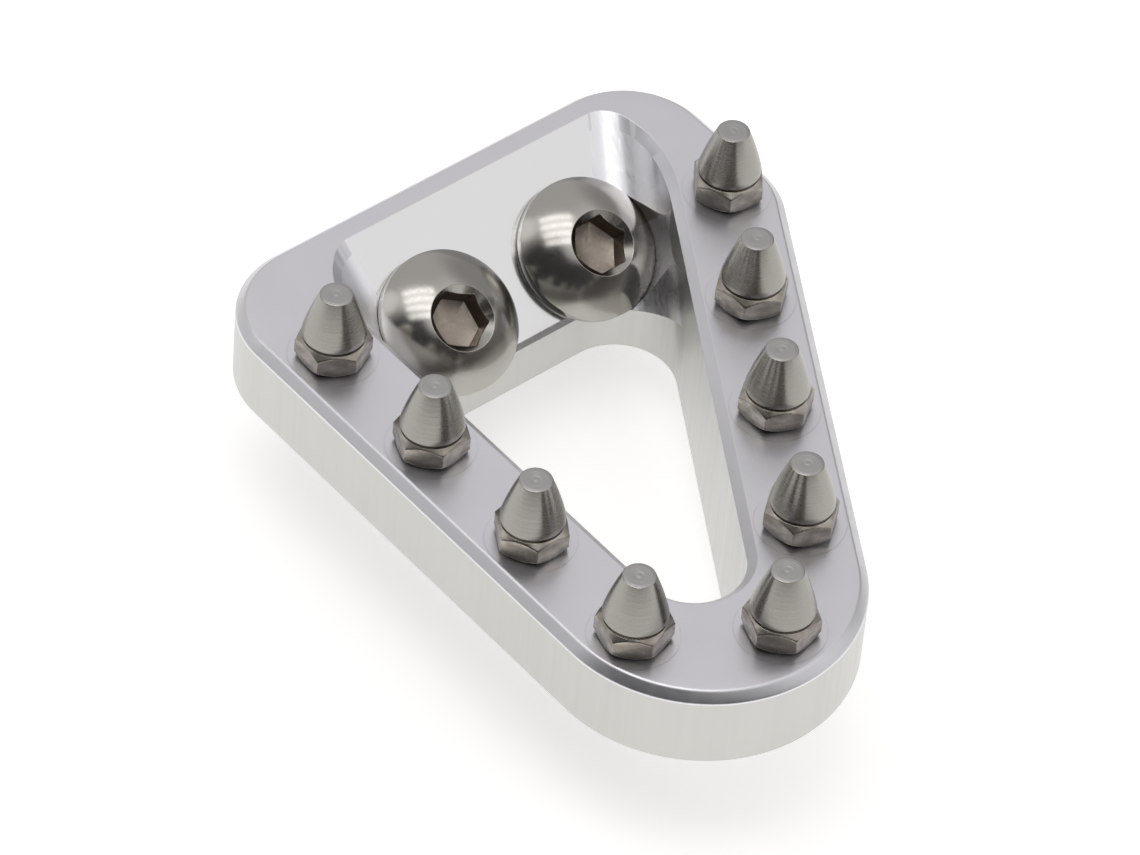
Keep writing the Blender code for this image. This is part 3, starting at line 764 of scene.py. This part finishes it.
def makePlate(values):
    # the blank less the opening, the pocket with its chamfer and lip, the seat, and every hole and spot
    body = plateBlank(values)
    reach, high = values["reach"], treadHeight + values["overrun"]
    opening = roundedPath(openingCorners(values), values["openingRadii"], values["arcStep"])[0]
    cutters = [closedRings("opening", np.stack([atHeight(opening, treadHeight + reach),
                                                atHeight(opening, bottomHeight - reach)]))]
    low = floorHeight(values, values["barOuter"] - values["barDepth"] - 2 * values["openingRadii"][0])
    cutters.append(closedRings("pocket", np.stack([pocketRing(values, high), pocketRing(values, low)])))
    edge = pocketRing(values, treadHeight - values["chamfer"])
    wide = 2 * values["chamfer"]
    upper = atHeight(movedOut(edge[:, :2], wide), treadHeight - values["chamfer"] + wide)
    cutters.append(closedRings("edge", np.stack([upper, edge])))
    cutters.append(lipWedge(values))
    cutters.append(seatBlock(values))
    walls = wallBounds(values)
    for side in (-1, 1):
        hole = closedRings("hole", roundRings([(screws["holeRadius"], reach), (screws["holeRadius"], -reach)],
                                              values["holeSteps"]))
        hole.data.transform(screwFrame(side))
        cutters.append(hole)
        around, seat = screws["headRadius"] + values["headGap"], values["web"] + values["skim"]
        relief = closedRings("relief", roundRings([(around, reach), (around, seat)], values["spotSteps"]))
        relief.data.transform(screwFrame(side))
        stop = relief.modifiers.new("Stop at the walls", "BOOLEAN")
        stop.operation = "INTERSECT"
        stop.solver = "EXACT"
        stop.object = walls
        cutters.append(relief)
    spot, foot = treadHeight - studs["spotDepth"], treadHeight - studs["holeDepth"]
    drill = [(studs["spotRadius"], high), (studs["spotRadius"], spot), (studs["holeRadius"], spot),
             (studs["holeRadius"], foot), (studs["drillTip"], foot - studs["drillPoint"])]
    for place in studPlaces(values, studs).values():
        cutters.append(closedRings("drilled", roundRings(drill, values["spotSteps"], place)))
    cutFrom(body, cutters)
    bpy.data.objects.remove(walls, do_unlink=True)
    return body


def wallBounds(values):
    # an upright prism just outside the opening's sides, open-ended past the bar: no relief cuts the walls
    leftTop, nose, rightTop = openingCorners(values)
    outline = np.array([leftTop + (0.0, values["reach"]), nose, rightTop + slantWay * values["reach"]])
    outline = movedOut(outline, values["skim"])
    tall = 0.05  # well past the plate either way
    return closedRings("wall bounds", np.stack([atHeight(outline, tall), atHeight(outline, -tall)]))


def lipWedge(values):
    # a long wedge that breaks the edge between the pocket's floor and the opening
    y = values["barOuter"] - values["barDepth"]
    edge = np.array([y, floorHeight(values, y)])
    upper = edge + np.array([cos(tilt), sin(tilt)]) * values["lip"]
    lower = edge - np.array([0.0, values["lip"]])
    way = (upper - lower) / np.hypot(*(upper - lower))
    free = np.array([-way[1], way[0]]) * 4 * values["lip"]
    top, foot = upper + way * 2 * values["lip"], lower - way * 2 * values["lip"]
    section = np.array([foot, top, top + free, foot + free])
    leftTop, nose, rightTop = openingCorners(values)
    first = leftTop[0] + values["openingRadii"][0]
    last = cornerArc(nose, rightTop, leftTop, values["openingRadii"][2], 6.0)[0][-1][0]
    rings = np.stack([np.column_stack([np.full(4, x), section]) for x in (first, last)])
    wedge = closedRings("lip", rings)
    facingOut(wedge)
    return wedge


def seatBlock(values):
    # a block whose top is the tilted seat
    half, far = values["seatWidth"] / 2, 2 * values["reach"]
    corners = np.array([(-half, -far), (half, -far), (half, far), (-half, far)])
    block = closedRings("seat", np.stack([atHeight(corners, 0.0), atHeight(corners, -values["reach"])]))
    block.data.transform(Matrix.Rotation(tilt, 4, "X"))
    return block


def facingOut(piece):
    # a ring stack that runs along the plate may be inside out
    shape = bmesh.new()
    shape.from_mesh(piece.data)
    bmesh.ops.recalc_face_normals(shape, faces=shape.faces)
    shape.to_mesh(piece.data)
    shape.free()


def finishByFace(piece, values):
    # each face takes the finish of the cut that made it, told by its height and by its normal, whose limits
    # are cosines: level within 6 degrees, along the floor within 2, and in a cove if it faces up at all
    count = len(piece.data.polygons)
    normals, centres = np.empty(count * 3), np.empty(count * 3)
    piece.data.polygons.foreach_get("normal", normals)
    piece.data.polygons.foreach_get("center", centres)
    normals, centres = normals.reshape(-1, 3), centres.reshape(-1, 3)
    up = normals[:, 2]
    level, onFloor, inCove = up > 0.995, normals @ floorNormal > 0.9995, up > 0.03
    byTread = centres[:, 2] > treadHeight - values["chamfer"] - 0.0001
    index = np.select([onFloor, level, (up > 0.3) & byTread, inCove], [3, 0, 2, 4], 1)
    for metal in (treadMetal, sideMetal, chamferMetal, floorMetal, coveMetal):  # numbers 0 to 4
        piece.data.materials.append(metal)
    piece.data.polygons.foreach_set("material_index", index.astype(np.int32))


milled = makePlate(plate)
finishByFace(milled, plate)
shadeSmooth(milled, 16)
finishPiece(milled, "plate")
print("plate milled:", len(milled.data.polygons), "faces")


# Studs and screws: surfaces of two parameters, the angle round the axis and the place along the outline

def hexRadius(angles, acrossFlats):
    # distance from the axis to the flat that faces each angle; flats face 0, 60, 120 degrees and so on
    toFlat = (angles + pi / 6) % (pi / 3) - pi / 6
    return acrossFlats / 2 / np.cos(toFlat)


thread = {
    "root": 0.16, "flank": 0.70, "rounding": 0.35,  # shares of half a pitch, then of the rolled edges
    "neck": 0.0003, "endBevel": 0.0001,  # plain under the head, and cut below the core at the end
}


def threadRows(values, length, angles):
    # a screw thread: the radius at an angle and a height follows a trapezium wave of their sum, so that the
    # crest climbs one pitch each turn; both ends run out to the core
    steps = int(length / values["threadPitch"] * values["threadSteps"])
    heights = np.linspace(0.0, -length, steps + 1)
    phase = (heights[:, None] / values["threadPitch"] - angles[None, :] / (2 * pi)) % 1.0
    wave = np.clip((np.abs(2 * phase - 1) - thread["root"]) / thread["flank"], 0, 1)
    wave = wave + thread["rounding"] * (wave * wave * (3 - 2 * wave) - wave)
    core = values["threadRadius"] - values["threadDepth"]
    radius = core + values["threadDepth"] * wave
    toEnd, toStart = np.abs(heights + length)[:, None], np.abs(heights)[:, None]
    radius = np.minimum(radius, core - thread["endBevel"] + toEnd)
    radius = np.minimum(radius, core + np.clip(toStart - thread["neck"], 0, None))
    return radius, np.repeat(heights[:, None], len(angles), axis=1)


def turnedPiece(name, radius, height, angles, sections, centreShift=None):
    # rows of radius and height become rings round the axis; a middle point closes each end. The piece's own
    # UV map, "turn", is the share of a turn and the way along the outline
    rows, columns = radius.shape
    x, y = radius * np.cos(angles), radius * np.sin(angles)
    if centreShift is not None:
        x, y = x + centreShift[:, :1], y + centreShift[:, 1:]
    points = np.stack([x, y, height], axis=-1).reshape(-1, 3)
    points = np.vstack([points, points[:columns].mean(axis=0), points[-columns:].mean(axis=0)])
    faces = ringFaces(rows, columns)
    start, end = np.arange(columns), (rows - 1) * columns + np.arange(columns)
    fanTop = np.stack([np.full(columns, rows * columns), start, np.roll(start, -1)], axis=1)
    fanEnd = np.stack([np.full(columns, rows * columns + 1), np.roll(end, -1), end], axis=1)
    faces += fanTop.tolist() + fanEnd.tolist()
    step = np.hypot(np.diff(radius.mean(axis=1)), np.diff(height.mean(axis=1)))
    run = np.concatenate([[0], np.cumsum(step)]) + radius[0].mean()
    uvs = np.stack([np.tile(angles / (2 * pi), rows), np.repeat(run, columns)], axis=1)
    uvs = np.vstack([uvs, (0.5, 0.0), (0.5, run[-1] + radius[-1].mean())])
    piece = meshObject(name, points, faces, uvs)
    index = np.concatenate([np.repeat(sections[:-1], columns), np.full(2 * columns, sections[0])])
    piece.data.polygons.foreach_set("material_index", index.astype(np.int32))
    return piece


def studOutline(values):
    # from the tip down: its facing, a cone that swells by 4 bulge s (1 - s), and the groove over the hexagon
    land, neck, tip = values["landRadius"], values["neckRadius"], values["tipRadius"]
    top, edge, hexTop = values["height"], values["tipEdge"], values["hexHeight"]
    share = np.linspace(0, 1, values["coneRows"])
    coneTop = top - edge
    cone = np.stack([tip + (land - tip) * share + 4 * values["bulge"] * share * (1 - share),
                     coneTop - (coneTop - values["coneStart"]) * share], axis=1)
    facing = [(radius, top - depth) for radius, depth in values["facing"]]
    # the groove's corners are broken by less than 0.1 mm
    groove = [(land, values["landStart"] + 0.00006), (land - 0.00005, values["landStart"]),
              (neck + 0.00004, values["landStart"] - 0.00003), (neck, values["landStart"] - 0.00008),
              (neck, hexTop + 0.00005), (neck + 0.00006, hexTop)]
    return np.vstack([facing, [(tip - edge, top), (tip - edge * 0.3, top - edge * 0.3)], cone, groove])


def hexRows(values, angles):
    # the hexagon: the smaller of the flats' distance and a steep cone at each end
    hexTop, slope = values["hexHeight"], tan(radians(values["bevelAngle"]))
    deep = (values["hex"] / 2 / cos(pi / 6) - values["hexEnd"]) / slope
    drop = np.concatenate([np.linspace(0, deep, values["bevelRows"]),
                           np.linspace(deep, hexTop - deep, values["flatRows"])[1:-1],
                           np.linspace(hexTop - deep, hexTop, values["bevelRows"])])
    barrel = values["hexEnd"] + np.minimum(drop, hexTop - drop) * slope
    radii = np.minimum(hexRadius(angles, values["hex"])[None, :], barrel[:, None])
    return radii, np.repeat((hexTop - drop)[:, None], len(angles), axis=1)


def makeStud(name, place, turn, values):
    # one stack of rows from the tip down: the turned outline, the hexagon and the threaded shank
    columns = values["columns"]
    angles = np.arange(columns) * 2 * pi / columns
    turned = studOutline(values)
    hexRadii, hexHeights = hexRows(values, angles)
    threadRadii, threadHeights = threadRows(values, values["shank"], angles)
    radius = np.vstack([np.repeat(turned[:, :1], columns, axis=1), hexRadii, threadRadii])
    height = np.vstack([np.repeat(turned[:, 1:], columns, axis=1), hexHeights, threadHeights])
    # cone 0, hexagon 1 from the groove's foot on, thread 2, tip 3
    sections = np.concatenate([np.zeros(len(turned)), np.ones(len(hexRadii)), np.full(len(threadRadii), 2)])
    sections[len(turned) - 1] = 1
    sections[:len(values["facing"])] = 3
    piece = turnedPiece("stud_turned_" + name, radius, height, angles, sections)
    stand = Matrix.Translation((place[0], place[1], treadHeight))
    piece.data.transform(stand @ Matrix.Rotation(radians(turn), 4, "Z"))
    for metal in (coneMetal, hexMetal, threadMetal, tipMetal):
        piece.data.materials.append(metal)
    shadeSmooth(piece, 24, 2)
    finishPiece(piece, "stud_" + name)


for name, place in studPlaces(plate, studs).items():
    makeStud(name, place, studs["turns"][name], studs)
print("studs turned")


def socketRows(values, angles):
    # from the middle of the socket's floor up: a dish whose depth is dish (1 - r r), round in the middle and
    # six-sided at the wall, then the larger of the hexagon and the mouth's 45 degree bevel
    top, mouth, flat = values["headHeight"], values["mouthRadius"], values["socket"] / 2
    floorLevel, bevelStart = top - values["socketDepth"], top - (mouth - flat)
    share = np.linspace(0.05, 1, values["dishRows"])
    heights = np.concatenate([floorLevel - values["dish"] * (1 - share**2),
                              np.linspace(floorLevel, bevelStart, values["wallRows"])[1:],
                              np.linspace(bevelStart, top, values["bevelRows"])[1:]])
    flats = hexRadius(angles, values["socket"])
    radii = np.maximum(flats[None, :], (mouth - (top - heights))[:, None])
    radii[:len(share)] = share[:, None] * (flat + (flats - flat) * share[:, None] ** 3)
    return radii, np.repeat(heights[:, None], len(angles), axis=1)


def headOutline(values):
    # the dome is an arc about a point on the axis, `drop` below the seat, from the mouth to the rim; under
    # it come the rim's side, a rounded foot and the flat seat
    top, rim, mouth = values["headHeight"], values["headRadius"], values["mouthRadius"]
    drop = (rim**2 - mouth**2 + values["rim"]**2 - top**2) / (2 * (top - values["rim"]))
    ball = sqrt(mouth**2 + (top + drop)**2)
    sweep = np.linspace(np.arcsin((mouth + values["mouthEdge"]) / ball), np.arcsin(rim / ball),
                        values["domeRows"])
    dome = np.stack([ball * np.sin(sweep), ball * np.cos(sweep) - drop], axis=1)
    foot = values["footEdge"]
    around = np.linspace(0, pi / 2, values["footRows"])
    footArc = np.stack([rim - foot + foot * np.cos(around), foot - foot * np.sin(around)], axis=1)
    seat = [(values["threadRadius"] - values["threadDepth"], 0.0)]
    return dome, np.vstack([[(rim + 0.00001, values["rim"] - 0.00008)], footArc, seat])


def makeScrew(name, side, values):
    # one stack of rows: up the socket from its floor, over the dome and the foot, and down the thread
    columns = values["columns"]
    angles = np.arange(columns) * 2 * pi / columns
    socketRadii, socketHeights = socketRows(values, angles)
    dome, foot = headOutline(values)
    head = np.vstack([dome, foot])
    threadRadii, threadHeights = (rows[1:] for rows in threadRows(values, values["length"], angles))
    radius = np.vstack([socketRadii, np.repeat(head[:, :1], columns, axis=1), threadRadii])
    height = np.vstack([socketHeights, np.repeat(head[:, 1:], columns, axis=1), threadHeights])
    # socket 1 up to the mouth's bevel, head 0, thread 2
    punched = len(socketRadii) - (values["bevelRows"] - 1)
    sections = np.concatenate([np.ones(punched), np.zeros(len(socketRadii) - punched + len(head)),
                               np.full(len(threadRadii), 2)])
    # the socket's shift fades out over the dome
    mouth, rim = values["mouthRadius"], values["headRadius"]
    outward = np.clip((dome[:, 0] - mouth) / (rim - mouth), 0, 1)
    weight = np.concatenate([np.ones(len(socketRadii)), 1 - outward, np.zeros(len(foot) + len(threadRadii))])
    spin = radians(values["turns"][name])
    x, y = values["socketShift"][name]
    shift = np.array([cos(spin) * x + sin(spin) * y, cos(spin) * y - sin(spin) * x])
    piece = turnedPiece("screw_headed_" + name, radius, height, angles, sections, weight[:, None] * shift)
    stand = screwFrame(side) @ Matrix.Translation((0, 0, plate["web"]))
    piece.data.transform(stand @ Matrix.Rotation(spin, 4, "Z"))
    for metal in (headMetal, socketMetal, threadMetal):
        piece.data.materials.append(metal)
    shadeSmooth(piece, 26, 2)
    finishPiece(piece, "mount_screw_" + name)


for name, side in (("left", -1), ("right", 1)):
    makeScrew(name, side, screws)
print("screws headed")
